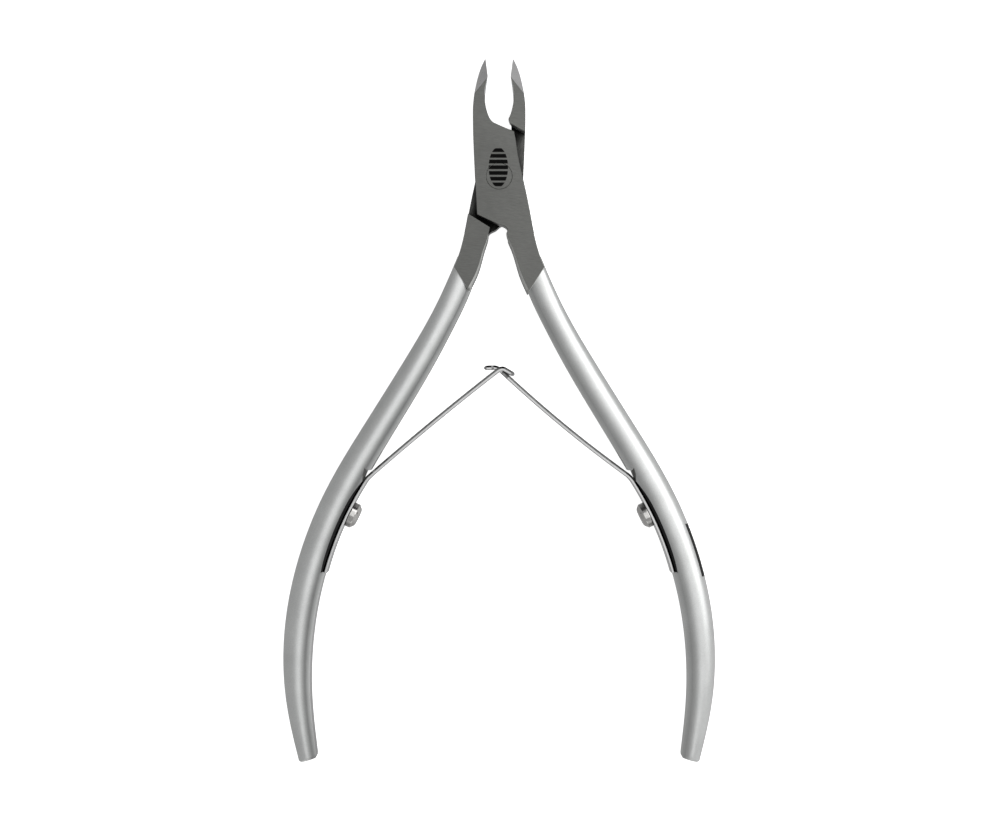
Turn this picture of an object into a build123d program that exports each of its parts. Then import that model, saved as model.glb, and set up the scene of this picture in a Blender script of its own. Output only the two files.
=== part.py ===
from build123d import *
import math
import os

# Cuticle nipper, lying flat with its jaws towards +Y, partly open as its springs hold it.
# The origin is on the pivot axis at the joint's back face. +Z goes from back to front.
# The front lever is the left jaw, the front half of the lap joint and the right handle.
# The rear lever is the same forging turned half a turn about the long axis.

# Joint and jaws
THICKNESS = 6.0            # joint, shanks and heel of the jaws, front to back
MID = THICKNESS / 2
LAP_GAP = 0.04             # clearance between the two halves of the lap joint
EDGE_ANGLE = 6.5           # each cutting edge stands this far from the closed line
EDGE_HEEL = 17.06          # distance from the pivot to the heel of the cutting edge
EDGE_TIP = 20.85           # distance from the pivot to the tip
FACET_OUTER = (-4.36, 13.90)  # where the sharpened facet's lower line meets the jaw's outer side
FACET_SLOPE = 52.0         # slope of the facet to the front face
RELIEF_ANGLE = 8.0         # the inner faces fall away behind the cutting edges
JAW_BACK = [(10.0, 0.0), (15.5, 0.75), (21.0, 2.45)]  # back of the jaws, as (y, z) of an arc
CUTTER_REACH = 30.0        # a cutter this large passes clean through the jaws
RELIEF_REACH = (9.0, 20.0, 4.0)  # the relief cut stays on the jaw: along it, across it and inwards

# Outline of the front lever's ground part
JAW_SIDE = (-4.48, 10.90)
WAIST = (-4.14, 0.00)
JAW_SHOULDER = [(-4.32, 7.63), (-1.84, 9.06)]
SHANK_SHOULDER = [(5.37, -6.34), (1.60, -8.70)]
GRIND_OUTER = (7.76, -15.45)  # the ground flats end on a line from here to the inner side
FRONT_INSIDE = [(4.87, -19.92), (3.34, -16.30), (2.08, -12.20), (1.22, -9.70), (1.42, -9.15), (1.10, -8.68)]
REAR_INSIDE = [(5.13, -19.52), (3.60, -16.30), (2.42, -12.20), (1.82, -9.95), (1.40, -9.25), (0.60, -8.85)]

# Pivot rivet
RIVET_R = 1.5
RIVET_HEAD_R = 2.25
RIVET_HEAD_DEPTH = 1.2
RUNNING_CLEARANCE = 0.03   # radial, in the rear lever only

# Handles: centre x, centre y, heading from the long axis, width, thickness, fullness
STATIONS = [
    (5.28, -14.28, 21.5, 3.80, 5.55, 0.86),
    (6.66, -17.98, 25.0, 4.26, 5.70, 0.84),
    (9.09, -23.23, 28.5, 4.40, 5.85, 0.80),
    (13.43, -31.11, 31.3, 4.72, 5.90, 0.76),
    (20.96, -43.44, 31.6, 5.00, 5.90, 0.74),
    (27.77, -55.35, 26.2, 5.24, 5.90, 0.74),
    (32.27, -66.97, 16.2, 5.16, 5.80, 0.74),
    (34.44, -78.68, 4.2, 4.98, 5.40, 0.74),
    (34.39, -89.49, -6.8, 4.36, 4.90, 0.74),
    (32.75, -99.70, -15.5, 3.25, 4.30, 0.74),
]
INNER_FLAT = 0.66          # height of the flat inner side, as a share of the thickness
CREASE_HEIGHT = 0.86       # height of the crease between inner bevel and dome
CREASE_IN = 0.16           # distance of the crease from the inner side, as a share of the width
RIDGE_OUT = 0.06           # distance of the ridge outside the centre, as a share of the width
HANDLE_END_R = 0.4         # rounding of the free end

# Leaf springs, one strip each, bent where they leave the handle
LEAF_T = 0.75
LEAF_WIDTH = 4.0
LEAF_EDGE = 0.12           # chamfer of the strip's front and back edges
BASE = [(23.05, -52.15), (27.00, -59.60), (29.80, -67.50)]  # middle line of the base, an arc
SEAT_RIM = 1.0             # bevel round the milled seat, beside the leaf
SEAT_HEAD = (22.62, -50.10)  # the seat runs on past the bend to here
SEAT_ENDS = [(14.0, -49.6), (20.5, -71.5)]  # its two ends leave the handle towards these points
SEAT_PLAY = 0.15           # the flat of the seat is wider than the leaf by this on each side
PEAK = (0.0, -32.8)        # where the middle planes of the two arms cross
BEND = (22.00, -50.94)     # where each arm starts, on its middle plane
BEND_GAP = 0.06            # between the base's and the arm's solids
TURN_IN = 0.7              # the right arm turns to its tongue this far from the peak
TURN_OVER = 0.35           # the left arm turns over this far left of the peak
RIGHT_BOW = -0.45          # bow of the right arm at its middle, and of the left one
LEFT_BOW = 0.20
SLOT_WIDTH = 2.4
SLOT_BELOW = 3.2           # the slot reaches this far down the left arm from the peak
SLOT_PAST = 2.0            # and this far beyond it, into the lip
LIP_START = (0.90, -32.80)  # the left arm bends over into a lip that points down to the right
LIP_END = (2.60, -33.78)
TONGUE_WIDTH = 1.9
TONGUE_ROOT = 3.6          # the right arm narrows to its tongue this far from the peak
TONGUE_START = (-0.90, -32.50)
TONGUE_END = (-2.60, -32.58)
TONGUE_HEAD = 3.2          # width of the tongue's head, which can't slip back through the slot
TONGUE_HEAD_LENGTH = 1.3

# Spring screws
SCREW_AT = 0.36            # place of the screw along the base, as a share of its length
SCREW_LIFT = 0.05          # the flat head bridges the hollow of the curved leaf by this
SCREW_HEAD_R = 2.2
SCREW_CYLINDER = 0.95
SCREW_DOME = 0.65
SCREW_SLOT_W = 0.6
SCREW_SLOT_D = 0.7
SCREW_SHANK_R = 1.0
SCREW_SHANK_LENGTH = 4.2   # below the head, through the leaf and into the handle


def heading_frame(x, y, heading):
    """Plane across a handle or strip: local x points outwards, local y points to the front."""
    turn = math.radians(heading)
    return Plane((x, y, MID), x_dir=(math.cos(turn), math.sin(turn), 0),
                 z_dir=(math.sin(turn), -math.cos(turn), 0))


def half_turn(shape):
    """Turn a shape half a turn about the long axis at mid-thickness."""
    return shape.rotate(Axis((0, 0, MID), (0, 1, 0)), 180)


def edge_point(radius):
    """Point on the left jaw's cutting edge at a distance from the pivot."""
    turn = math.radians(EDGE_ANGLE)
    return (-radius * math.sin(turn), radius * math.cos(turn))


def lever_outline(inside):
    """Front-half outline of jaw, joint plate and shank in one."""
    heel = edge_point(EDGE_HEEL)
    tip = edge_point(EDGE_TIP)
    floor = (-0.95, 9.13)
    corner = (2.50, 7.70)
    hip = (-0.36, -8.10)
    outer = Spline(WAIST, (-4.38, 5.40), JAW_SIDE, tangents=[(-0.04, 1), (0, 1)])
    crown = Spline(JAW_SIDE, (-3.98, 15.60), tip, tangents=[(0, 1), (0.5, 0.87)])
    hollow = Spline(heel, (-2.46, 14.00), (-2.08, 11.05), floor, tangents=[(-0.25, -1), (0.9, -0.6)])
    top = Polyline(floor, (1.12, 8.18), corner)
    right = Spline(corner, (3.15, 3.80), (4.00, -0.10), (5.30, -6.30), GRIND_OUTER,
                   tangents=[(0.25, -1), (0.44, -0.9)])
    inner = Spline(*inside[:4], tangents=[(-0.44, 0.9), (-0.1, 1)])
    arch = Spline(*inside[3:], hip, tangents=[(0.3, 1), (-1, 0.42)])
    left = Polyline(hip, (-3.77, -6.50), (-4.00, -2.30), WAIST)
    edges = [outer, crown, Line(tip, heel), hollow, top, right, Line(GRIND_OUTER, inside[0]),
             inner, arch, left]
    return make_face(Wire(Curve() + edges))


def lap_pocket():
    """Space behind the front plate, where the other lever's plate lies."""
    points = [(-6.80, 6.20), JAW_SHOULDER[0], JAW_SHOULDER[1], (-1.62, 9.50), (-1.20, 12.0),
              (9.0, 12.0), (9.0, -4.07), SHANK_SHOULDER[0], SHANK_SHOULDER[1], (1.90, -9.75),
              (1.00, -12.0), (-6.80, -12.0)]
    return extrude(make_face(Polyline(*points, close=True)), MID + LAP_GAP / 2)


def jaw_back_cutter():
    """Removes the space behind the forward-curving back of the jaws."""
    section = Plane.YZ * make_face(
        ThreePointArc(*JAW_BACK) + Polyline(JAW_BACK[2], (22.0, -1.0), (JAW_BACK[0][0], -1.0), JAW_BACK[0]))
    return extrude(section, CUTTER_REACH, both=True)


def facet_cutter():
    """Half space in front of the left jaw's sharpened facet."""
    heel = Vector(*edge_point(EDGE_HEEL), THICKNESS)
    low = Vector(*FACET_OUTER, THICKNESS)
    along = (heel - low).normalized()
    level = Vector(-along.Y, along.X, 0)
    slope = math.radians(FACET_SLOPE)
    normal = level * math.sin(slope) + Vector(0, 0, 1) * math.cos(slope)
    return Plane(heel, x_dir=along, z_dir=normal) * Box(
        CUTTER_REACH, CUTTER_REACH, CUTTER_REACH, align=(Align.CENTER, Align.CENTER, Align.MIN))


def tip_height():
    """Height of the cutting edge's tip on the facet's plane."""
    heel = Vector(*edge_point(EDGE_HEEL), 0)
    low = Vector(*FACET_OUTER, 0)
    along = (heel - low).normalized()
    level = Vector(-along.Y, along.X, 0)
    run = (Vector(*edge_point(EDGE_TIP), 0) - heel).dot(level)
    return THICKNESS - run * math.tan(math.radians(FACET_SLOPE))


def relief_cutter():
    """Half space on the inner side of the left jaw, tilted away behind its cutting edge."""
    heel = Vector(*edge_point(EDGE_HEEL), THICKNESS)
    tip = Vector(*edge_point(EDGE_TIP), tip_height())
    along = (tip - heel).normalized()
    flat_normal = Vector(math.cos(math.radians(EDGE_ANGLE)), math.sin(math.radians(EDGE_ANGLE)), 0)
    normal = flat_normal.rotate(Axis((0, 0, 0), tuple(along)), RELIEF_ANGLE)
    return Plane(heel, x_dir=along, z_dir=normal) * Box(
        *RELIEF_REACH, align=(Align.CENTER, Align.CENTER, Align.MIN))


def handle_section(station):
    """Section of a handle: flat inner side, bevels, and a dome to the front and the back."""
    x, y, heading, width, thickness, fullness = station
    half_w = width / 2
    half_t = thickness / 2
    ridge = RIDGE_OUT * width
    flat = INNER_FLAT * half_t
    crease = (-half_w + CREASE_IN * width, CREASE_HEIGHT * half_t)
    shoulder = (ridge + fullness * (half_w - ridge), fullness * half_t)
    front = Spline(crease, (ridge, half_t), shoulder, (half_w, 0),
                   tangents=[(0.93, 0.37), (0, -1)])
    bevel = Line((-half_w, flat), crease)
    section = [Line((-half_w, -flat), (-half_w, flat)), bevel, front,
               mirror(front, Plane.XZ), mirror(bevel, Plane.XZ)]
    return heading_frame(x, y, heading) * make_face(Wire(Curve() + section))


def handle():
    """Forged right handle."""
    body = loft([handle_section(station) for station in STATIONS])
    end = body.faces().sort_by(Axis.Y)[0]
    return fillet(end.edges(), HANDLE_END_R)


def base_line(outwards=0.0):
    """Line along the right spring's base, upper end first, at a distance outside its middle."""
    middle = ThreePointArc(*BASE)
    centre = middle.arc_center
    points = [Vector(*point) + (Vector(*point) - centre).normalized() * outwards for point in BASE]
    return ThreePointArc(*points)


def spring_seat():
    """Curved flat milled across the right handle's inner side, bevelled beside the leaf."""
    back = base_line(LEAF_T / 2)
    sides = Polyline(back @ 1, SEAT_ENDS[1], SEAT_ENDS[0], SEAT_HEAD, back @ 0)
    region = make_face(Curve() + [back, sides])
    half = LEAF_WIDTH / 2 + SEAT_PLAY
    flat = Pos(0, 0, MID) * extrude(region, half, both=True)
    rim = extrude(Pos(0, 0, MID + half) * region, 2 * SEAT_RIM, taper=-45)
    return flat + rim + half_depth_mirror(rim)


def half_depth_mirror(shape):
    """Mirror a shape from front to back about mid-thickness."""
    return mirror(shape, Plane.XY.offset(MID))


def strip(path):
    """Strip of spring steel that follows a path in the middle plane."""
    side = trace(path, LEAF_T)
    leaf = Pos(0, 0, MID) * extrude(side, LEAF_WIDTH / 2, both=True)
    rims = leaf.faces().sort_by(Axis.Z)
    return chamfer(rims[0].edges() + rims[-1].edges(), LEAF_EDGE)


def spring_base():
    """Right spring's base, from its tail to the end of its bend."""
    line = base_line()
    bend = TangentArc(BASE[0], BEND, tangent=(line % 0) * -1)
    return strip(Curve() + [line, bend]) - screw_hole()


def arm_frame():
    """Frame at the peak: local x runs down the right arm, local y points to the front."""
    down = Vector(BEND[0] - PEAK[0], BEND[1] - PEAK[1], 0).normalized()
    return Plane((*PEAK, MID), x_dir=down, z_dir=(-down.Y, down.X, 0))


def arm_start():
    """Point just past the bend on the right arm's middle plane."""
    down = arm_frame().x_dir
    return (BEND[0] - BEND_GAP * down.X, BEND[1] - BEND_GAP * down.Y)


def bowed(start, end, bow):
    """Arc from start to end whose middle stands off the chord to the left of its way by bow."""
    chord = Line(start, end)
    way = chord % 0
    middle = chord @ 0.5 + Vector(-way.Y, way.X) * bow
    return ThreePointArc(start, (middle.X, middle.Y), end)


def spring_slab(low_x, high_x, width):
    """Slab of a given width about mid-thickness, across both springs from one place along X to another."""
    return Pos(low_x, PEAK[1], MID) * Box(
        high_x - low_x, CUTTER_REACH, width, align=(Align.MIN, Align.CENTER, Align.CENTER))


def narrow(leaf, low_x, high_x, width):
    """Trim both sides of a leaf to a width, from one place along X to another."""
    sides = spring_slab(low_x, high_x, 2 * LEAF_WIDTH) - spring_slab(low_x, high_x, width)
    return leaf - sides


def right_arm():
    """Right arm, whose tongue goes up through the slot and bends over to the left."""
    frame = arm_frame()
    turn_in = frame.from_local_coords((TURN_IN, 0, 0))
    blade = bowed(arm_start(), (turn_in.X, turn_in.Y), -RIGHT_BOW)
    over = Spline((turn_in.X, turn_in.Y), TONGUE_START, tangents=[blade % 1, (-1, -0.05)])
    leaf = strip(Curve() + [blade, over, Line(TONGUE_START, TONGUE_END)])
    head_end = TONGUE_END[0] - LEAF_T
    neck_start = TONGUE_END[0] + TONGUE_HEAD_LENGTH
    neck_end = frame.from_local_coords((TONGUE_ROOT, 0, 0)).X
    return narrow(narrow(leaf, neck_start, neck_end, TONGUE_WIDTH), head_end, neck_start, TONGUE_HEAD)


def left_arm():
    """Left arm, whose slotted end bends over and down to the right."""
    slope = (PEAK[1] - BEND[1]) / BEND[0]
    top = Vector(-TURN_OVER, PEAK[1] - TURN_OVER * slope)
    start = (-arm_start()[0], arm_start()[1])
    blade = bowed(start, (top.X, top.Y), LEFT_BOW)
    over = Spline((top.X, top.Y), LIP_START, tangents=[blade % 1, Line(LIP_START, LIP_END) % 0])
    leaf = strip(Curve() + [blade, over, Line(LIP_START, LIP_END)])
    slot_start = -arm_frame().from_local_coords((SLOT_BELOW, 0, 0)).X
    return leaf - spring_slab(slot_start, SLOT_PAST, SLOT_WIDTH)


def screw_frame():
    """Frame on the base's inner face: local z runs along the screw's axis, inwards."""
    inner_face = base_line(-LEAF_T / 2)
    inward = (inner_face.arc_center - inner_face @ SCREW_AT).normalized()
    spot = inner_face @ SCREW_AT + inward * SCREW_LIFT
    return Plane((spot.X, spot.Y, MID), x_dir=(0, 0, 1), z_dir=inward)


def screw():
    """Slotted spring screw of the right handle."""
    body = Cylinder(SCREW_HEAD_R, SCREW_CYLINDER, align=(Align.CENTER, Align.CENTER, Align.MIN))
    dome = extrude(Plane.XY.offset(SCREW_CYLINDER) * Circle(SCREW_HEAD_R), SCREW_DOME, taper=35)
    slot = Pos(0, 0, SCREW_CYLINDER + SCREW_DOME) * Box(
        SCREW_SLOT_W, 2 * SCREW_HEAD_R, SCREW_SLOT_D, align=(Align.CENTER, Align.CENTER, Align.MAX))
    shank = Cylinder(SCREW_SHANK_R, SCREW_SHANK_LENGTH, align=(Align.CENTER, Align.CENTER, Align.MAX))
    return screw_frame() * (body + dome - slot + shank)


def screw_hole():
    """Hole for the screw's shank, through the leaf and into the handle."""
    return screw_frame() * Cylinder(
        SCREW_SHANK_R, SCREW_SHANK_LENGTH, align=(Align.CENTER, Align.CENTER, Align.MAX))


def rivet(clearance):
    """Rivet with a cone under each flush head, or the bore for it when clearance is given."""
    head_r = RIVET_HEAD_R + clearance
    cone = Cone(RIVET_R + clearance, head_r, RIVET_HEAD_DEPTH,
                align=(Align.CENTER, Align.CENTER, Align.MAX))
    front = Pos(0, 0, THICKNESS) * cone
    pin = Cylinder(RIVET_R + clearance, THICKNESS, align=(Align.CENTER, Align.CENTER, Align.MIN))
    return pin + front + half_turn(front)


def lever(inside):
    """Front lever without its facet."""
    flats = extrude(lever_outline(inside), THICKNESS) - lap_pocket()
    seated_handle = handle() - spring_seat() - screw_hole()
    return flats + seated_handle


def front_lever():
    """Left jaw, front plate and right handle."""
    return lever(FRONT_INSIDE) - jaw_back_cutter() - facet_cutter() - relief_cutter() - rivet(0)


def rear_lever():
    """Right jaw, rear plate and left handle."""
    turned = half_turn(lever(REAR_INSIDE))
    cutters = [mirror(facet_cutter(), Plane.YZ), mirror(relief_cutter(), Plane.YZ)]
    return turned - jaw_back_cutter() - cutters - rivet(RUNNING_CLEARANCE)


NODES = {
    "front_lever": front_lever(),
    "rear_lever": rear_lever(),
    "pivot_rivet": rivet(0),
    "right_spring_base": spring_base(),
    "left_spring_base": mirror(spring_base(), Plane.YZ),
    "right_spring_arm": right_arm(),
    "left_spring_arm": left_arm(),
    "right_spring_screw": screw(),
    "left_spring_screw": mirror(screw(), Plane.YZ),
}

os.makedirs("parts", exist_ok=True)
for node, shape in NODES.items():
    export_step(shape, f"parts/{node}.step")
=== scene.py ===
import math

import bmesh
import bpy
import numpy as np
from mathutils import Matrix, Vector


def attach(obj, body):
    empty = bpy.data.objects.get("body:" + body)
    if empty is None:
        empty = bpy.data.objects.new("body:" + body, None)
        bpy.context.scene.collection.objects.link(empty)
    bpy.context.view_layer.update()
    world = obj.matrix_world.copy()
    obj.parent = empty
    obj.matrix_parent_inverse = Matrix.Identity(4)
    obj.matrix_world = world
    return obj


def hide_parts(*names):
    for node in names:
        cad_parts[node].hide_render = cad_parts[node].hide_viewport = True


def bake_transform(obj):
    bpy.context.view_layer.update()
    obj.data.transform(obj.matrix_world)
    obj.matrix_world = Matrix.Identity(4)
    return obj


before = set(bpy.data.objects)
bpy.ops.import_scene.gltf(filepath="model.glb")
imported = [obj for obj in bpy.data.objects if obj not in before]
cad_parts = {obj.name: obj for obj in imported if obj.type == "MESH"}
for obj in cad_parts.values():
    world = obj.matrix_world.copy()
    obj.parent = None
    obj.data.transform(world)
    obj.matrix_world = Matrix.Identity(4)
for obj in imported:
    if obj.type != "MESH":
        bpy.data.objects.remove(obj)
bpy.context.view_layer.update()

# The design's own dimensions, in millimetres and degrees, in the nipper's frame:
# X right, Y to the jaws, Z from the back to the front, origin on the pivot axis.
THICKNESS = 6.0
MID = THICKNESS / 2
LAP_GAP = 0.04
EDGE_ANGLE = 6.5
EDGE_HEEL = 17.06
EDGE_TIP = 20.85
FACET_OUTER = (-4.36, 13.90)
FACET_SLOPE = 52.0
RELIEF_ANGLE = 8.0
JAW_BACK = [(10.0, 0.0), (15.5, 0.75), (21.0, 2.45)]
JAW_SIDE = (-4.48, 10.90)
WAIST = (-4.14, 0.00)
JAW_SHOULDER = [(-4.32, 7.63), (-1.84, 9.06)]
SHANK_SHOULDER = [(5.37, -6.34), (1.60, -8.70)]
GRIND_OUTER = (7.76, -15.45)
FRONT_INSIDE = [(4.87, -19.92), (3.34, -16.30), (2.08, -12.20), (1.22, -9.70), (1.42, -9.15), (1.10, -8.68)]
REAR_INSIDE = [(5.13, -19.52), (3.60, -16.30), (2.42, -12.20), (1.82, -9.95), (1.40, -9.25), (0.60, -8.85)]
EDGE_BREAK = 0.07          # fine bevel on the ground edges
SHANK_BEVEL = 0.42         # wider bevel along the inner edges of the shanks

RIVET_R = 1.5
RIVET_HEAD_R = 2.25
RIVET_HEAD_DEPTH = 1.2
RIVET_RIM = 0.07           # fine ring around each head
RIVET_PLAY = 0.01          # clearance around the rivet, on the radius

# Handles: centre x, centre y, heading, width, thickness, fullness
STATIONS = [
    (5.28, -14.28, 21.5, 3.80, 5.55, 0.86),
    (6.66, -17.98, 25.0, 4.26, 5.70, 0.84),
    (9.09, -23.23, 28.5, 4.40, 5.85, 0.80),
    (13.43, -31.11, 31.3, 4.72, 5.90, 0.76),
    (20.96, -43.44, 31.6, 5.00, 5.90, 0.74),
    (27.77, -55.35, 26.2, 5.24, 5.90, 0.74),
    (32.27, -66.97, 16.2, 5.16, 5.80, 0.74),
    (34.44, -78.68, 4.2, 4.98, 5.40, 0.74),
    (34.39, -89.49, -6.8, 4.36, 4.90, 0.74),
    (32.75, -99.70, -15.5, 3.25, 4.30, 0.74),
]
INNER_FLAT = 0.66
CREASE_HEIGHT = 0.86
CREASE_IN = 0.16
CREASE_FADE = 1.2          # the painted shade along the crease fades out this far from it
CREASE_SHADE_STRENGTH = (0.5, 1.0)  # and is this strong on the front lever and on the rear one
RIDGE_OUT = 0.06
HANDLE_END_R = 0.4

# Leaf springs
LEAF_T = 0.75
LEAF_WIDTH = 4.0
LEAF_EDGE = 0.12           # rounding of the edges away from the jaws
LEAF_CHAMFER = 0.36        # chamfer of the edges to the jaws
LEAF_TAPER = 0.4           # a leaf thins to half over this length at its end
BASE = [(23.05, -52.15), (27.00, -59.60), (29.80, -67.50)]
SEAT_RIM = 1.0
SEAT_HEAD = (22.62, -50.10)
SEAT_ENDS = [(14.0, -49.6), (20.5, -71.5)]
SEAT_PLAY = 0.15
SEAT_OVERRUN = 3.0         # faces up to this far above its head count as the seat's
SEAT_SHADE_END = 0.6       # and take the painted shade up to this far above the base
PEAK = (0.0, -32.8)
BEND = (22.00, -50.94)
TURN_IN = 0.7              # the right arm turns to its tongue this far from the peak
TURN_OVER = 0.35           # and the left arm turns over this far left of it
RIGHT_BOW = 0.45
LEFT_BOW = 0.20
SLOT_WIDTH = 2.4
SLOT_BELOW = 3.2
SLOT_PAST = 2.0
LIP_START = (0.90, -32.80)
LIP_END = (2.60, -33.78)
TONGUE_WIDTH = 1.9
NECK_ROOT = 0.95           # the neck starts this far below the turn
TONGUE_START = (-0.90, -32.50)
TONGUE_END = (-2.60, -32.58)
TONGUE_HEAD = 3.2
TONGUE_HEAD_LENGTH = 1.3

# Generic marks: a hatched oval on the front plate and a bar on the right handle's outer side
MARK_AT = (-0.15, 1.5)
MARK_SIZE = (1.65, 3.4)
MARK_BARS = 7
MARK_GREY = 0.006
BAR_ALONG = (-68.2, -59.2)
BAR_HIGH = (0.8, 5.2)
BAR_OUTSIDE = 31.0         # the bar is on faces to the right of this
BAR_GREY = 0.03

# Spring screws
SCREW_AT = 0.36
SCREW_LIFT = 0.05
SCREW_HEAD_R = 2.2
SCREW_HEIGHT = 1.6
SCREW_SLOT_W = 0.6
SCREW_SLOT_D = 0.7

MM = Matrix.Scale(0.001, 4)
TO_MID = Matrix.Translation((0, 0, MID))
HALF_TURN = TO_MID @ Matrix.Rotation(math.pi, 4, "Y") @ TO_MID.inverted()
FLIP_X = Matrix.Scale(-1, 4, (1, 0, 0))
NO_MOVE = Matrix.Identity(4)
SMOOTH_ANGLE = math.radians(13)
SHARPEST_MITRE = 0.7       # corners sharper than about 107 degrees are drawn in less


# Lines

def spline(points, start=None, end=None, steps=10):
    """Smooth cubic through the points, whose way is given at neither or both of its ends."""
    knots = np.array(points, float)
    span = np.linalg.norm(np.diff(knots[:, :2], axis=0), axis=1)
    count = len(knots)
    system = np.zeros((count, count))
    right = np.zeros_like(knots)
    for i in range(1, count - 1):
        before, after = span[i - 1], span[i]
        system[i, i - 1:i + 2] = after, 2 * (before + after), before
        to_here, onward = knots[i] - knots[i - 1], knots[i + 1] - knots[i]
        right[i] = 3 * (after / before * to_here + before / after * onward)
    for row, beside, way, chord, length in (
            (0, 1, start, knots[1] - knots[0], span[0]),
            (count - 1, count - 2, end, knots[-1] - knots[-2], span[-1])):
        if way is None:
            system[row, row], system[row, beside] = 2, 1
            right[row] = 3 * chord / length
        else:
            system[row, row] = 1
            right[row] = np.array(way) / np.linalg.norm(way)
    slopes = np.linalg.solve(system, right)
    line = [knots[0]]
    for i in range(count - 1):
        for step in range(1, steps + 1):
            t = step / steps
            line.append(
                (2 * t ** 3 - 3 * t ** 2 + 1) * knots[i]
                + (t ** 3 - 2 * t ** 2 + t) * span[i] * slopes[i]
                + (3 * t ** 2 - 2 * t ** 3) * knots[i + 1]
                + (t ** 3 - t ** 2) * span[i] * slopes[i + 1])
    return line


def arc_centre(a, b, c):
    """Centre of the circle through three points."""
    a, b, c = (np.array(point, float) for point in (a, b, c))
    system = 2 * np.array([b - a, c - a])
    return np.linalg.solve(system, [b @ b - a @ a, c @ c - a @ a])


def arc(a, b, c, steps=24):
    """Arc from a through b to c."""
    centre = arc_centre(a, b, c)
    first, middle, last = (math.atan2(p[1] - centre[1], p[0] - centre[0]) for p in (a, b, c))
    turn = (last - first) % math.tau
    if (middle - first) % math.tau > turn:
        turn -= math.tau
    radius = math.dist(a, centre)
    angles = np.linspace(first, first + turn, steps + 1)
    return [centre + radius * np.array((math.cos(angle), math.sin(angle))) for angle in angles]


def left_of(way):
    """The direction to the left of a way, one unit long."""
    return np.array((-way[1], way[0])) / np.hypot(*way)


def bowed(start, end, bow, steps=40):
    """Arc from start to end that stands off the chord to the left of its way by bow."""
    start, end = np.array(start, float), np.array(end, float)
    return arc(start, (start + end) / 2 + left_of(end - start) * bow, end, steps)


def tangent_arc(start, end, way, steps=10):
    """Arc that leaves start along a way and ends at end."""
    chord = np.array(end, float) - np.array(start, float)
    turn = math.atan2(chord[0] * way[1] - chord[1] * way[0], chord @ np.array(way))
    return bowed(start, end, np.hypot(*chord) / 2 * math.tan(turn / 2), steps)


def joined(*lines):
    """One line from several that follow each other, each shared end once."""
    points = []
    for line in lines:
        for point in line:
            point = np.array(point, float)
            if not points or np.linalg.norm(point - points[-1]) > 1e-6:
                points.append(point)
    return points


def edge_point(radius):
    """Point on the left jaw's cutting edge at a distance from the pivot."""
    turn = math.radians(EDGE_ANGLE)
    return np.array((-radius * math.sin(turn), radius * math.cos(turn)))


def inset(outline, widths):
    """Move a closed outline's points to its left side, each by its own width."""
    moved = []
    count = len(outline)
    for i in range(count):
        before = left_of(outline[i] - outline[i - 1])
        after = left_of(outline[(i + 1) % count] - outline[i])
        moved.append(outline[i] + (before + after) / max(SHARPEST_MITRE, 1 + before @ after) * widths[i])
    return moved


def signed_area(outline):
    """Area inside an outline, positive when it runs anticlockwise."""
    return sum(np.cross(outline[i - 1], outline[i]) for i in range(len(outline))) / 2


# Meshes

def stack(name, rings, place=NO_MOVE):
    """Closed mesh through rings with the same number of points, with a face over each end."""
    mesh = bmesh.new()
    rows = [[mesh.verts.new(place @ Vector(point)) for point in ring] for ring in rings]
    count = len(rows[0])
    for low, high in zip(rows, rows[1:]):
        for i in range(count):
            mesh.faces.new((low[i - 1], low[i], high[i], high[i - 1]))
    mesh.faces.new(reversed(rows[0]))
    mesh.faces.new(rows[-1])
    bmesh.ops.remove_doubles(mesh, verts=mesh.verts, dist=1e-5)
    bmesh.ops.recalc_face_normals(mesh, faces=mesh.faces)
    data = bpy.data.meshes.new(name)
    mesh.to_mesh(data)
    mesh.free()
    piece = bpy.data.objects.new(name, data)
    bpy.context.scene.collection.objects.link(piece)
    return piece


def at_height(outline, height):
    """A flat outline as points in space."""
    return [(point[0], point[1], height) for point in outline]


def prism(name, outline, low, high, place=NO_MOVE):
    """Straight solid on an outline."""
    return stack(name, [at_height(outline, low), at_height(outline, high)], place)


def axes(origin, x_way, z_way):
    """Frame at a point with its x and z directions."""
    z_way = Vector(z_way).normalized()
    x_way = Vector(x_way).normalized()
    y_way = z_way.cross(x_way)
    turn = Matrix((x_way, y_way, z_way)).transposed().to_4x4()
    return Matrix.Translation(Vector(origin)) @ turn


def block(name, half_x, half_y, low, high, place):
    """Box in a frame, centred on its z axis."""
    corners = [(-half_x, -half_y), (half_x, -half_y), (half_x, half_y), (-half_x, half_y)]
    return prism(name, corners, low, high, place)


def lathe(name, profile, place=NO_MOVE, count=96):
    """Turned solid from (radius, height) pairs."""
    turns = [math.tau * i / count for i in range(count)]
    rings = [[(radius * math.cos(turn), radius * math.sin(turn), height) for turn in turns]
             for radius, height in profile]
    return stack(name, rings, place)


def combine(target, tool, operation="DIFFERENCE"):
    """Cut a tool from the target, or join it on, and remove the tool."""
    change = target.modifiers.new(operation, "BOOLEAN")
    change.operation = operation
    change.solver = "EXACT"
    change.object = tool
    bpy.context.view_layer.update()
    evaluated = target.evaluated_get(bpy.context.evaluated_depsgraph_get())
    mesh = bpy.data.meshes.new_from_object(evaluated)
    target.modifiers.clear()
    target.data = mesh
    bpy.data.objects.remove(tool)
    return target


def finish_mesh(piece):
    """Scale a piece from millimetres to metres and shade its curved faces smooth."""
    piece.data.transform(MM)
    mesh = bmesh.new()
    mesh.from_mesh(piece.data)
    bmesh.ops.remove_doubles(mesh, verts=mesh.verts, dist=2e-6)
    bmesh.ops.recalc_face_normals(mesh, faces=mesh.faces)
    mesh.to_mesh(piece.data)
    mesh.free()
    piece.data.polygons.foreach_set("use_smooth", [True] * len(piece.data.polygons))
    piece.data.set_sharp_from_angle(angle=SMOOTH_ANGLE)
    return piece


# Levers

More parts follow.
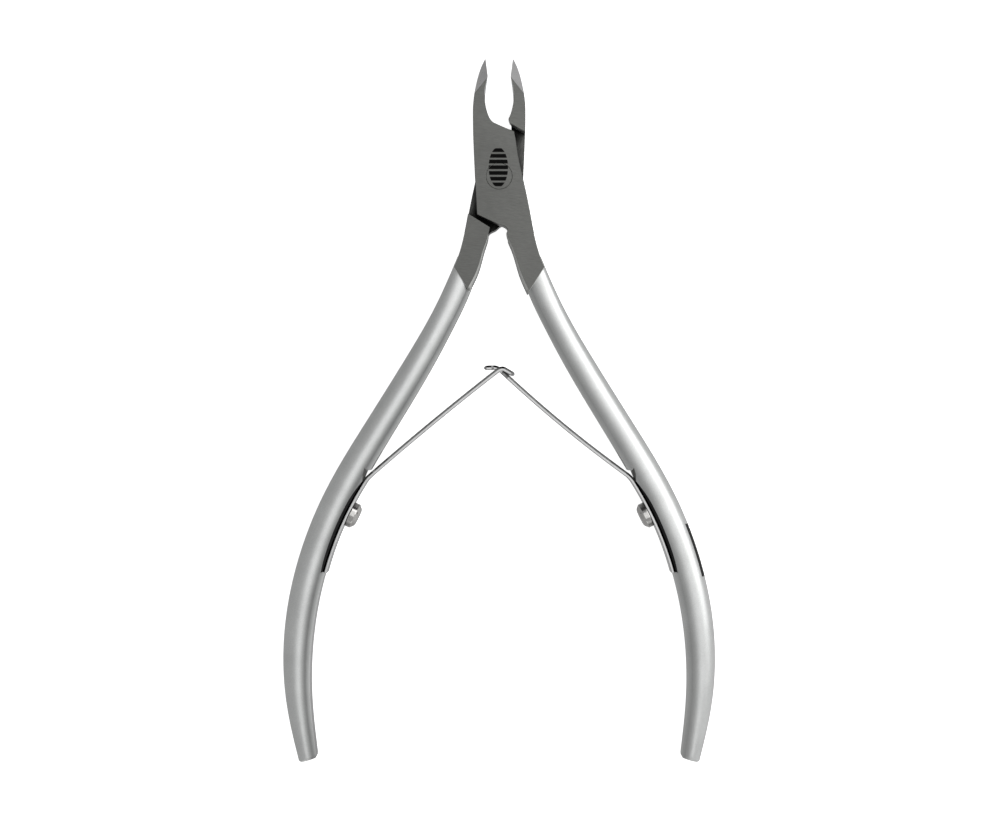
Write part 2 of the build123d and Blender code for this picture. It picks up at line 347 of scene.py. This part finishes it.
def lever_outline(inside):
    """Outline of jaw, joint plate and shank in one, with the bevel's width at each point."""
    heel, tip = edge_point(EDGE_HEEL), edge_point(EDGE_TIP)
    throat, corner, hip = (-0.95, 9.13), (2.50, 7.70), (-0.36, -8.10)
    parts = [
        (spline([WAIST, (-4.38, 5.40), JAW_SIDE], (-0.04, 1), (0, 1), 16), EDGE_BREAK),
        (spline([JAW_SIDE, (-3.98, 15.60), tip], (0, 1), (0.5, 0.87), 16), EDGE_BREAK),
        ([tip, heel], 0.0),
        (spline([heel, (-2.46, 14.00), (-2.08, 11.05), throat], (-0.25, -1), (0.9, -0.6), 14), EDGE_BREAK),
        ([throat, (1.12, 8.18), corner], EDGE_BREAK),
        (spline([corner, (3.15, 3.80), (4.00, -0.10), (5.30, -6.30), GRIND_OUTER],
                (0.25, -1), (0.44, -0.9), 14), EDGE_BREAK),
        ([GRIND_OUTER, inside[0]], EDGE_BREAK),
        (spline(inside[:4], (-0.44, 0.9), (-0.1, 1), 14), SHANK_BEVEL),
        (spline([*inside[3:], hip], (0.3, 1), (-1, 0.42), 10), EDGE_BREAK),
        ([hip, (-3.77, -6.50), (-4.00, -2.30), WAIST], EDGE_BREAK),
    ]
    points, widths = [], []
    for line, width in parts:
        for i, point in enumerate(line[:-1]):
            points.append(np.array(point, float))
            if width == SHANK_BEVEL:
                faded = width + (EDGE_BREAK - width) * i / (len(line) - 1)
                widths.append(max(EDGE_BREAK, min(faded, math.dist(point, line[0]))))
            else:
                widths.append(width)
    return points, widths


def lap_pocket():
    """Space behind the front plate, where the other lever's plate lies."""
    outline = [(-6.80, 6.20), *JAW_SHOULDER, (-1.62, 9.50), (-1.20, 12.0), (9.0, 12.0), (9.0, -4.07),
               *SHANK_SHOULDER, (1.90, -9.75), (1.00, -12.0), (-6.80, -12.0)]
    return prism("pocket", outline, -1, MID + LAP_GAP / 2)


def ground_block(inside):
    """Bevelled block of the ground part, with its half of the lap joint cut away."""
    outline, widths = lever_outline(inside)
    if signed_area(outline) < 0:
        outline.reverse()
        widths.reverse()
    narrow = inset(outline, widths)
    rings = [
        at_height(narrow, 0),
        [(p[0], p[1], width) for p, width in zip(outline, widths)],
        [(p[0], p[1], THICKNESS - width) for p, width in zip(outline, widths)],
        at_height(narrow, THICKNESS),
    ]
    return combine(stack("ground", rings), lap_pocket())


def handle_ring(values, advance=0.0, shrink=0.0):
    """Section of a handle: flat inner side, bevels, and a dome to the front and the back."""
    x, y, heading, width, thickness, fullness = values
    turn = math.radians(heading)
    half_w, half_t = width / 2, thickness / 2
    ridge = RIDGE_OUT * width
    crease = (-half_w + CREASE_IN * width, CREASE_HEIGHT * half_t)
    shoulder = (ridge + fullness * (half_w - ridge), fullness * half_t)
    dome = spline([crease, (ridge, half_t), shoulder, (half_w, 0)], (0.93, 0.37), (0, -1), 10)
    flat = INNER_FLAT * half_t
    inner = [(-half_w, flat * k / 3) for k in range(4)]
    half = [np.array(point) for point in inner] + list(dome)
    whole = half + [point * (1, -1) for point in reversed(half[1:-1])]
    ring = []
    for u, v in whole:
        u *= 1 - shrink / half_w
        v *= 1 - shrink / half_t
        ring.append((x + u * math.cos(turn) + advance * math.sin(turn),
                     y + u * math.sin(turn) - advance * math.cos(turn), MID + v))
    return ring


def handle():
    """Forged right handle with a rounded end."""
    rings = [handle_ring(values) for values in spline(STATIONS, steps=22)]
    rings.pop()
    end = STATIONS[-1]
    steps = 6
    for k in range(steps + 1):
        turn = math.pi / 2 * k / steps
        advance = HANDLE_END_R * (math.sin(turn) - 1)
        rings.append(handle_ring(end, advance, HANDLE_END_R * (1 - math.cos(turn))))
    return stack("handle", rings)


def base_offset(outwards, steps=32):
    """Points along the right spring's base, upper end first, at a distance outside its middle."""
    centre = arc_centre(*BASE)
    return [point + (point - centre) / np.linalg.norm(point - centre) * outwards
            for point in arc(*BASE, steps)]


def spring_seat():
    """Curved flat milled across the right handle's inner side, bevelled beside the leaf."""
    region = joined(base_offset(LEAF_T / 2), [SEAT_ENDS[1], SEAT_ENDS[0], SEAT_HEAD])
    if signed_area(region) < 0:
        region.reverse()
    wide = inset(region, [-2 * SEAT_RIM] * len(region))
    half = LEAF_WIDTH / 2 + SEAT_PLAY
    levels = [(wide, -half - 2 * SEAT_RIM), (region, -half), (region, half), (wide, half + 2 * SEAT_RIM)]
    return stack("seat", [at_height(outline, MID + level) for outline, level in levels])


def jaw_back_cutter():
    """Space behind the forward-curving back of the jaws."""
    outline = joined(arc(*JAW_BACK, 24), [(22.0, -1.0), (JAW_BACK[0][0], -1.0)])
    place = Matrix(((0, 0, 1, 0), (1, 0, 0, 0), (0, 1, 0, 0), (0, 0, 0, 1)))
    return prism("jaw_back", outline, -12, 12, place)


def facet_frame():
    """Frame on the left jaw's sharpened facet: x along its lower line, z out of its face."""
    heel = Vector((*edge_point(EDGE_HEEL), THICKNESS))
    along = (heel - Vector((*FACET_OUTER, THICKNESS))).normalized()
    level = Vector((-along.y, along.x, 0))
    slope = math.radians(FACET_SLOPE)
    return axes(heel, along, level * math.sin(slope) + Vector((0, 0, math.cos(slope))))


def relief_frame():
    """Frame on the left jaw's inner side, tilted away behind its cutting edge."""
    facet = facet_frame()
    heel = Vector((*edge_point(EDGE_HEEL), THICKNESS))
    tip = Vector((*edge_point(EDGE_TIP), 0))
    normal = facet.to_3x3() @ Vector((0, 0, 1))
    tip.z = THICKNESS - ((tip - heel).x * normal.x + (tip - heel).y * normal.y) / normal.z
    along = (tip - heel).normalized()
    turn = math.radians(EDGE_ANGLE)
    tilt = Matrix.Rotation(math.radians(RELIEF_ANGLE), 3, along)
    return axes(heel, along, tilt @ Vector((math.cos(turn), math.sin(turn), 0)))


def rivet_bore():
    """Bore with a cone at each end for the rivet."""
    depth = RIVET_HEAD_DEPTH
    head, shank = RIVET_HEAD_R + RIVET_PLAY, RIVET_R + RIVET_PLAY
    profile = [(head + 0.6, -1), (head, 0), (shank, depth),
               (shank, THICKNESS - depth), (head, THICKNESS), (head + 0.6, THICKNESS + 1)]
    return lathe("bore", profile)


def lever(name, inside, turned):
    """One lever: forged handle, ground shank and plate, and sharpened jaw."""
    piece = combine(ground_block(inside), combine(handle(), spring_seat()), "UNION")
    side = NO_MOVE
    if turned:
        piece.data.transform(HALF_TURN)
        side = FLIP_X
    combine(piece, jaw_back_cutter())
    combine(piece, block("facet", 15, 15, 0, 10, side @ facet_frame()))
    combine(piece, block("relief", 4.5, 10, 0, 4, side @ relief_frame()))
    combine(piece, rivet_bore())
    piece.name = name
    return finish_mesh(piece)


def paint_lever(piece, inside, turned):
    """Give each face of a lever its finish or the seat's painted shade, by where it lies and which way it
    faces.
    """
    for material in FINISHES:
        piece.data.materials.append(material)
    satin, ground, recess, honed, milled, bevel = range(len(FINISHES))
    side = -1 if turned else 1
    facet_normal = facet_frame().to_3x3() @ Vector((0, 0, 1))
    facet_normal.x *= side
    start, end = np.array(GRIND_OUTER), np.array(inside[0])
    across = left_of(end - start)
    seat_centre = arc_centre(*BASE) * (side, 1)
    seat_radius = math.dist(arc_centre(*BASE), BASE[0]) + LEAF_T / 2
    for face in piece.data.polygons:
        centre = face.center * 1000
        spot = np.array((centre.x * side, centre.y))
        beyond = (spot - start) @ across
        if face.normal.dot(facet_normal) > 0.995 and centre.y > JAW_SIDE[1]:
            face.material_index = honed
        elif abs(centre.z - MID) < LAP_GAP and abs(face.normal.z) > 0.9:
            face.material_index = recess
        elif beyond < 0.02:
            sloped = centre.y < FRONT_INSIDE[3][1] and 0.4 < abs(face.normal.z) < 0.95
            butt = np.array((face.normal.x * side, face.normal.y)) @ across > 0.6
            face.material_index = bevel if sloped else satin if butt else ground
        else:
            from_seat = np.array((centre.x, centre.y)) - seat_centre
            depth = np.hypot(*from_seat) - seat_radius
            facing = -(from_seat / np.hypot(*from_seat)) @ np.array(face.normal[:2])
            along_seat = SEAT_ENDS[1][1] < centre.y < SEAT_HEAD[1] + SEAT_OVERRUN
            if along_seat and -0.05 < depth < SEAT_RIM + 0.1 and facing > 0.62:
                # Seat faces near the base are near black: painted shade of the seat's rim and of the gap
                # behind the leaf.
                face.material_index = milled if centre.y < BASE[0][1] + SEAT_SHADE_END else ground


def note_crease(piece, turned):
    """Store how near each point of a lever is to its handle's inner crease, as the strength of the painted
    shade there.
    """
    line = np.array(spline(STATIONS, steps=22))
    side, shade_strength = (-1, CREASE_SHADE_STRENGTH[1]) if turned else (1, CREASE_SHADE_STRENGTH[0])
    nearness = []
    for vertex in piece.data.vertices:
        spot = np.array((vertex.co.x * side, vertex.co.y)) * 1000
        x, y, heading, width = line[np.argmin(np.hypot(*(line[:, :2] - spot).T))][:4]
        turn = math.radians(heading)
        across = (spot[0] - x) * math.cos(turn) + (spot[1] - y) * math.sin(turn)
        nearness.append(shade_strength * smooth_step(CREASE_FADE, 0.0, abs(across + width * (0.5 - CREASE_IN))))
    piece.data.attributes.new("crease", "FLOAT", "POINT").data.foreach_set("value", nearness)


# Springs, screws and rivet

def section_ring(centre, way, half_t, half_w, jaw_side):
    """Section of a leaf across its way: chamfered on the side to the jaws, rounded on the other."""
    across = left_of(way)
    ring = []
    for corner, (u_side, v_side) in enumerate(((1, 1), (-1, 1), (-1, -1), (1, -1))):
        chamfered = u_side == jaw_side
        edge = min(LEAF_CHAMFER if chamfered else LEAF_EDGE, 0.95 * half_t)
        for k in range(9):
            turn = math.pi / 2 * (corner + k / 8)
            reach = edge
            if chamfered:
                reach /= abs(math.cos(turn)) + abs(math.sin(turn))
            u = u_side * (half_t - edge) + reach * math.cos(turn)
            v = v_side * (half_w - edge) + reach * math.sin(turn)
            ring.append((centre[0] + across[0] * u, centre[1] + across[1] * u, MID + v))
    return ring


def leaf(name, path, half_width, jaw_side):
    """Strip of spring steel along a path, whose half width depends on the distance from the end."""
    path = joined(path)
    steps = [np.linalg.norm(b - a) for a, b in zip(path, path[1:])]
    rings = []
    for i, point in enumerate(path):
        way = path[min(i + 1, len(path) - 1)] - path[max(i - 1, 0)]
        left = sum(steps[i:])
        half_thickness = LEAF_T / 2 * (1 - 0.5 * smooth_step(LEAF_TAPER, 0.0, left))
        rings.append(section_ring(point, way, half_thickness, half_width(left), jaw_side))
    return stack(name, rings)


def base_and_bend():
    """Right spring's middle line from its tail to the end of its bend."""
    base = base_offset(0)
    way = np.array(base[0]) - np.array(base[1])
    return joined(list(reversed(base)), tangent_arc(BASE[0], BEND, way / np.hypot(*way)))


def right_spring():
    """Right spring, whose tongue goes through the left one's slot and bends over to the left."""
    down = np.array(BEND) - np.array(PEAK)
    turn_in = np.array(PEAK) + down / np.hypot(*down) * TURN_IN
    blade = bowed(BEND, turn_in, RIGHT_BOW)
    over = spline([turn_in, TONGUE_START], blade[-1] - blade[-2], (-1, -0.05), 14)
    head = [np.array(TONGUE_START) + (np.array(TONGUE_END) - TONGUE_START) * k / 12 for k in range(13)]
    tongue_length = math.dist(turn_in, TONGUE_START) + math.dist(TONGUE_START, TONGUE_END)

    def half_width(left):
        neck = smooth_step(tongue_length + NECK_ROOT, tongue_length + NECK_ROOT - 0.45, left)
        tip = smooth_step(TONGUE_HEAD_LENGTH + 0.35, TONGUE_HEAD_LENGTH - 0.05, left)
        corner = smooth_step(0.45, 0.0, left) * 0.35
        width = LEAF_WIDTH - (LEAF_WIDTH - TONGUE_WIDTH) * neck + (TONGUE_HEAD - TONGUE_WIDTH) * tip
        return width / 2 - corner

    return leaf("right_spring", joined(base_and_bend(), blade, over, head), half_width, -1)


def left_spring():
    """Left spring, whose slotted end bends over and down to the right."""
    flip = np.array((-1, 1))
    slope = (PEAK[1] - BEND[1]) / BEND[0]
    top = np.array((-TURN_OVER, PEAK[1] - TURN_OVER * slope))
    blade = bowed(np.array(BEND) * flip, top, LEFT_BOW)
    lip_way = np.array(LIP_END) - LIP_START
    over = spline([top, LIP_START], blade[-1] - blade[-2], lip_way, 14)
    lip = [np.array(LIP_START) + lip_way * k / 12 for k in range(13)]

    def half_width(left):
        return LEAF_WIDTH / 2 - smooth_step(0.6, 0.0, left) * 0.45

    path = joined([point * flip for point in base_and_bend()], blade, over, lip)
    piece = leaf("left_spring", path, half_width, 1)
    down = (np.array(BEND) - PEAK) / math.dist(BEND, PEAK)
    left_end = -SLOT_BELOW * down[0]
    r = SLOT_WIDTH / 2 * 0.6
    low, high = r - SLOT_WIDTH / 2, SLOT_WIDTH / 2 - r
    centres = [(SLOT_PAST - r, high), (left_end + r, high), (left_end + r, low), (SLOT_PAST - r, low)]
    corners = []
    for corner, (cx, cz) in enumerate(centres):
        for k in range(7):
            turn = math.pi / 2 * (corner + k / 6)
            corners.append((cx + r * math.cos(turn), cz + r * math.sin(turn)))
    place = Matrix(((1, 0, 0, 0), (0, 0, 1, PEAK[1]), (0, 1, 0, MID), (0, 0, 0, 1)))
    return combine(piece, prism("slot", corners, -6, 6, place))


def smooth_step(start, end, value):
    """0 at start, 1 at end, and smooth between them."""
    t = min(1, max(0, (value - start) / (end - start)))
    return t * t * (3 - 2 * t)


def screw_frame():
    """Frame on the base's inner face: z along the screw's axis, inwards."""
    inner = base_offset(-LEAF_T / 2, 100)
    spot = inner[round(SCREW_AT * 100)]
    inward = arc_centre(*BASE) - spot
    inward = inward / np.hypot(*inward)
    spot = spot + inward * SCREW_LIFT
    return axes((spot[0], spot[1], MID), (0, 0, 1), (inward[0], inward[1], 0))


def screw(name, side):
    """Slotted screw with a turned rim and a domed top."""
    rim = SCREW_HEAD_R
    profile = [(0.9, -0.6), (0.9, 0.0), (rim - 0.10, 0.0), (rim - 0.03, 0.03), (rim, 0.10), (rim, 0.86),
               (rim - 0.02, 0.93), (rim - 0.08, 0.98), (rim - 0.20, 1.06), (rim - 0.34, 1.22),
               (rim - 0.50, 1.38), (rim - 0.68, 1.50), (rim - 0.90, 1.57), (rim - 1.20, 1.60),
               (rim - 1.70, SCREW_HEIGHT)]
    piece = lathe(name, profile)
    slot = block("slot", SCREW_SLOT_W / 2, rim + 0.5, SCREW_HEIGHT - SCREW_SLOT_D, SCREW_HEIGHT + 1, NO_MOVE)
    combine(piece, slot)
    piece.data.transform(side @ screw_frame())
    piece.name = name
    return finish_mesh(piece)


def rivet():
    """Rivet whose ground heads lie flush in the plates, inside a fine ring."""
    rim = RIVET_HEAD_R
    half = [(rim - 2.0, 0.0), (rim - 1.2, 0.0), (rim - RIVET_RIM, 0.0), (rim - RIVET_RIM / 2, RIVET_RIM),
            (RIVET_R, RIVET_HEAD_DEPTH)]
    profile = half + [(radius, THICKNESS - height) for radius, height in reversed(half)]
    return finish_mesh(lathe("rivet_visual", profile))


# Materials

def link(tree, source, target):
    """Connect a node's output to an input."""
    tree.links.new(source, target)


def new_material(name):
    """Empty material and its shader."""
    material = bpy.data.materials.new(name)
    material.use_nodes = True
    tree = material.node_tree
    shader = tree.nodes["Principled BSDF"]
    shader.inputs["Metallic"].default_value = 1.0
    return material, tree, shader


def object_coordinates(tree, scale, turn=0.0):
    """Object coordinates, turned about Z and then stretched."""
    place = tree.nodes.new("ShaderNodeTexCoord").outputs["Object"]
    if turn:
        rotate = tree.nodes.new("ShaderNodeMapping")
        rotate.inputs["Rotation"].default_value = (0, 0, math.radians(turn))
        link(tree, place, rotate.inputs["Vector"])
        place = rotate.outputs["Vector"]
    stretch = tree.nodes.new("ShaderNodeMapping")
    stretch.inputs["Scale"].default_value = scale
    link(tree, place, stretch.inputs["Vector"])
    return stretch.outputs["Vector"]


def noise(tree, scale, detail=4.0, roughness=0.6, turn=0.0):
    """Noise over the object, with its scale along each axis per metre."""
    node = tree.nodes.new("ShaderNodeTexNoise")
    node.inputs["Scale"].default_value = 1.0
    node.inputs["Detail"].default_value = detail
    node.inputs["Roughness"].default_value = roughness
    link(tree, object_coordinates(tree, scale, turn), node.inputs["Vector"])
    return node.outputs["Fac"]


def ramp(tree, value, stops):
    """Colour from a value, by (position, grey or colour) stops."""
    node = tree.nodes.new("ShaderNodeValToRGB")
    elements = node.color_ramp.elements
    while len(elements) < len(stops):
        elements.new(0.5)
    for element, (position, colour) in zip(elements, stops):
        element.position = position
        element.color = (*colour, 1) if isinstance(colour, tuple) else (colour, colour, colour, 1)
    link(tree, value, node.inputs["Fac"])
    return node.outputs["Color"]


def map_range(tree, value, low, high, from_low=0.25, from_high=0.75):
    """Value spread from one range to another."""
    node = tree.nodes.new("ShaderNodeMapRange")
    limits = {"From Min": from_low, "From Max": from_high, "To Min": low, "To Max": high}
    for socket, number in limits.items():
        node.inputs[socket].default_value = number
    link(tree, value, node.inputs["Value"])
    return node.outputs["Result"]


def bump(tree, shader, value, depth, normal=None):
    """Bump by a value, over an earlier bump if one is given."""
    node = tree.nodes.new("ShaderNodeBump")
    node.inputs["Strength"].default_value = 1.0
    node.inputs["Distance"].default_value = depth
    link(tree, value, node.inputs["Height"])
    if normal:
        link(tree, normal, node.inputs["Normal"])
    link(tree, node.outputs["Normal"], shader.inputs["Normal"])
    return node.outputs["Normal"]


def brushed(name, dark, light, rough, scale, turn=0.0, depth=4e-6, tint=(1, 1, 1)):
    """Metal with fine grinding lines, in a range of greys and of roughness."""
    material, tree, shader = new_material(name)
    lines = noise(tree, scale, 5.0, 0.65, turn)
    cloud = noise(tree, (180, 180, 180), 3.0)
    tinted = [tuple(grey * c for c in tint) for grey in (dark, light)]
    colour = ramp(tree, lines, [(0.30, tinted[0]), (0.70, tinted[1])])
    link(tree, colour, shader.inputs["Base Color"])
    darken(material, ramp(tree, cloud, [(0.30, 0.90), (0.70, 1.0)]))
    link(tree, map_range(tree, lines, rough[0], rough[1]), shader.inputs["Roughness"])
    bump(tree, shader, lines, depth)
    return material


def darken(material, grey):
    """Multiply a material's base colour by a grey."""
    tree = material.node_tree
    base = tree.nodes["Principled BSDF"].inputs["Base Color"]
    mix = tree.nodes.new("ShaderNodeMix")
    mix.data_type = "RGBA"
    mix.blend_type = "MULTIPLY"
    mix.inputs["Factor"].default_value = 1.0
    link(tree, base.links[0].from_socket, mix.inputs["A"])
    link(tree, grey, mix.inputs["B"])
    link(tree, mix.outputs["Result"], base)


def shade_corners(material, reach, black, white):
    """Paint shade into a material where other surfaces stand close to it."""
    tree = material.node_tree
    closeness = tree.nodes.new("ShaderNodeAmbientOcclusion")
    closeness.inputs["Distance"].default_value = reach
    darken(material, ramp(tree, closeness.outputs["AO"], [(black, 0.02), (white, 1.0)]))


def shade_crease(material):
    """Paint shade into a material along the handle's inner crease."""
    tree = material.node_tree
    nearness = tree.nodes.new("ShaderNodeAttribute")
    nearness.attribute_name = "crease"
    darken(material, ramp(tree, nearness.outputs["Fac"], [(0.0, 1.0), (1.0, 0.36)]))


def calculate(tree, operation, first, second=None):
    """Result of one sum on values or sockets."""
    node = tree.nodes.new("ShaderNodeMath")
    node.operation = operation
    for socket, value in zip(node.inputs, (first, second)):
        if isinstance(value, (int, float)):
            socket.default_value = value
        elif value is not None:
            link(tree, value, socket)
    return node.outputs["Value"]


def millimetres(tree):
    """Object coordinates in millimetres, one socket each."""
    place = tree.nodes.new("ShaderNodeTexCoord").outputs["Object"]
    split = tree.nodes.new("ShaderNodeSeparateXYZ")
    link(tree, place, split.inputs["Vector"])
    return [calculate(tree, "MULTIPLY", socket, 1000.0) for socket in split.outputs]


def inside_band(tree, value, low, high, blur=0.04):
    """1 where a value lies between two numbers, and 0 outside."""
    above = map_range(tree, value, 0.0, 1.0, low - blur, low + blur)
    below = map_range(tree, value, 1.0, 0.0, high - blur, high + blur)
    return calculate(tree, "MULTIPLY", above, below)


def etch(material, mask_of, grey):
    """Etch a matt dark mark into a material where its mask is 1."""
    tree = material.node_tree
    shader = tree.nodes["Principled BSDF"]
    mask = mask_of(tree)
    for name, value in (("Base Color", (grey, grey, grey, 1)), ("Roughness", (0.6, 0.6, 0.6, 1))):
        source = shader.inputs[name].links[0].from_socket
        mix = tree.nodes.new("ShaderNodeMix")
        mix.data_type = "RGBA"
        link(tree, mask, mix.inputs["Factor"])
        link(tree, source, mix.inputs["A"])
        mix.inputs["B"].default_value = value
        link(tree, mix.outputs["Result"], shader.inputs[name])


def oval_mark(tree):
    """An oval hatched with short bars, on the front plate."""
    x, y, z = millimetres(tree)
    across = calculate(tree, "DIVIDE", calculate(tree, "SUBTRACT", x, MARK_AT[0]), MARK_SIZE[0])
    along = calculate(tree, "DIVIDE", calculate(tree, "SUBTRACT", y, MARK_AT[1]), MARK_SIZE[1])
    reach = calculate(tree, "ADD", calculate(tree, "MULTIPLY", across, across),
                      calculate(tree, "MULTIPLY", along, along))
    bars_along = calculate(tree, "MULTIPLY", calculate(tree, "ADD", along, 1.0), MARK_BARS / 2)
    bars = calculate(tree, "FRACT", bars_along)
    shape = calculate(tree, "MULTIPLY", inside_band(tree, reach, -1.0, 1.0, 0.04),
                      inside_band(tree, bars, 0.16, 0.84, 0.05))
    return calculate(tree, "MULTIPLY", shape, calculate(tree, "GREATER_THAN", z, THICKNESS - 0.03))


def side_bar(tree):
    """A plain etched bar on the outer side of the right handle."""
    x, y, z = millimetres(tree)
    along = inside_band(tree, y, *BAR_ALONG)
    high = inside_band(tree, z, *BAR_HIGH)
    outer = calculate(tree, "GREATER_THAN", x, BAR_OUTSIDE)
    return calculate(tree, "MULTIPLY", calculate(tree, "MULTIPLY", along, high), outer)


STEEL_TINT = (0.99, 1.0, 0.955)
GROUND = brushed("ground_steel", 0.115, 0.155, (0.34, 0.44), (900, 9000, 900), 6.0, tint=STEEL_TINT)
BEVEL = brushed("ground_bevel", 0.62, 0.7, (0.32, 0.42), (900, 900, 6000), 0.0, tint=(0.99, 1.0, 0.97))
RECESS = brushed("lapped_steel", 0.09, 0.22, (0.30, 0.42), (6000, 900, 900), 20.0, tint=STEEL_TINT)
HONED = brushed("honed_steel", 0.80, 0.90, (0.26, 0.34), (12000, 1500, 1500), 35.0)
SATIN = brushed("satin_steel", 0.6, 0.74, (0.37, 0.43), (7000, 7000, 7000), 0.0, 5e-6, (0.985, 1.0, 0.99))
# Near-black seat colour: painted shade of the seat's bevelled rim and of the gap behind the leaf.
MILLED_SEAT_SHADE = brushed("milled_seat_painted_shade", 0.015, 0.035, (0.40, 0.55), (1200, 1200, 9000))
LEAF = brushed("spring_steel", 0.44, 0.54, (0.18, 0.26), (900, 900, 14000), 0.0)
NICKEL = brushed("polished_nickel", 0.46, 0.58, (0.08, 0.15), (3000, 3000, 12000),
                 depth=2e-6, tint=(1.0, 0.985, 0.96))
RIVET = brushed("rivet_steel", 0.112, 0.15, (0.30, 0.40), (900, 9000, 900), 6.0, tint=STEEL_TINT)
FINISHES = (SATIN, GROUND, RECESS, HONED, MILLED_SEAT_SHADE, BEVEL)

# Painted shade where surfaces stand close: in the lapped recess by its walls, in the screw's slot and under
# its head, and in the seat.
shade_corners(RECESS, 0.0035, 0.40, 0.95)
shade_corners(NICKEL, 0.0008, 0.30, 0.90)
shade_corners(MILLED_SEAT_SHADE, 0.0015, 0.30, 0.90)
# Painted shade along the handles' inner creases, stronger on the rear lever.
shade_crease(SATIN)
for marked in (GROUND, RIVET):
    etch(marked, oval_mark, MARK_GREY)
etch(SATIN, side_bar, BAR_GREY)


# Assembly

def add_lever(name, inside, turned, body):
    """Build a lever with its finishes and let it ride on its body."""
    piece = lever(name, inside, turned)
    paint_lever(piece, inside, turned)
    note_crease(piece, turned)
    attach(piece, body)
    return piece


front = add_lever("front_lever_visual", FRONT_INSIDE, False, "front_lever")
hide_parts("front_lever")
rear = add_lever("rear_lever_visual", REAR_INSIDE, True, "rear_lever")
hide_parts("rear_lever")

pin = rivet()
pin.data.materials.append(RIVET)
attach(pin, "front_lever")
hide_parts("pivot_rivet")

for side_name, side, body in (("right", NO_MOVE, "front_lever"), ("left", FLIP_X, "rear_lever")):
    piece = screw(f"{side_name}_screw_visual", side)
    piece.data.materials.append(NICKEL)
    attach(piece, body)
    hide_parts(f"{side_name}_spring_screw")

SPRINGS = (("right", right_spring, 1, "front_lever"), ("left", left_spring, -1, "rear_lever"))
for side_name, make, flip, body in SPRINGS:
    piece = finish_mesh(make())
    piece.data.materials.append(LEAF)
    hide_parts(f"{side_name}_spring_base", f"{side_name}_spring_arm")
    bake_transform(piece)


# Floor, light and camera

def floor():
    """Plain white floor, a hair below the back, which the metal doesn't mirror."""
    mesh = bpy.data.meshes.new("floor")
    half, level = 1.5, -3e-5
    corners = [(-half, -half, level), (half, -half, level), (half, half, level), (-half, half, level)]
    mesh.from_pydata(corners, [], [(0, 1, 2, 3)])
    piece = bpy.data.objects.new("floor", mesh)
    bpy.context.scene.collection.objects.link(piece)
    material = bpy.data.materials.new("floor_white")
    material.use_nodes = True
    shader = material.node_tree.nodes["Principled BSDF"]
    shader.inputs["Base Color"].default_value = (0.85, 0.85, 0.85, 1)
    shader.inputs["Roughness"].default_value = 0.9
    shader.inputs["Emission Color"].default_value = (1, 1, 1, 1)
    shader.inputs["Emission Strength"].default_value = 0.85
    mesh.materials.append(material)
    piece.visible_glossy = False


def softbox(name, place, target, size, power):
    """Rectangular area light that points at a target, with its height and its level length."""
    light = bpy.data.lights.new(name, "AREA")
    light.shape = "RECTANGLE"
    light.size, light.size_y = size
    light.energy = power
    lamp = bpy.data.objects.new(name, light)
    lamp.location = place
    lamp.rotation_euler = (Vector(target) - Vector(place)).to_track_quat("-Z", "X").to_euler()
    bpy.context.scene.collection.objects.link(lamp)


def studio_world():
    """Even grey surroundings, dark at the back and brighter to the far right."""
    world = bpy.data.worlds.new("studio")
    world.use_nodes = True
    tree = world.node_tree
    background = tree.nodes["Background"]
    way = tree.nodes.new("ShaderNodeSeparateXYZ")
    link(tree, tree.nodes.new("ShaderNodeTexCoord").outputs["Generated"], way.inputs["Vector"])
    back = map_range(tree, way.outputs["Y"], 0.0, 1.0, -1.0, 1.0)
    link(tree, ramp(tree, back, [(0.25, 0.50), (0.81, 0.44), (0.90, 0.05)]), background.inputs["Color"])
    link(tree, map_range(tree, way.outputs["X"], 1.0, 1.6, 0.3, 0.85), background.inputs["Strength"])
    bpy.context.scene.world = world


def camera():
    """Camera straight above the nipper."""
    data = bpy.data.cameras.new("camera")
    data.sensor_width = 36.0
    data.lens = 63.5
    data.clip_start = 0.01
    piece = bpy.data.objects.new("camera", data)
    piece.location = (0.000136, -0.03987, 0.306)
    bpy.context.scene.collection.objects.link(piece)
    bpy.context.scene.camera = piece


floor()
softbox("key", (0.105, 0.02, 0.12), (0.03, -0.02, 0), (0.12, 0.24), 0.165)
softbox("overhead", (0.045, 0.03, 0.46), (0.01, 0.03, 0), (0.22, 0.56), 0.34)
softbox("front", (0.0, -0.60, 0.22), (0, -0.04, 0), (0.20, 0.60), 0.35)
studio_world()
bpy.context.scene.view_settings.view_transform = "Standard"
camera()
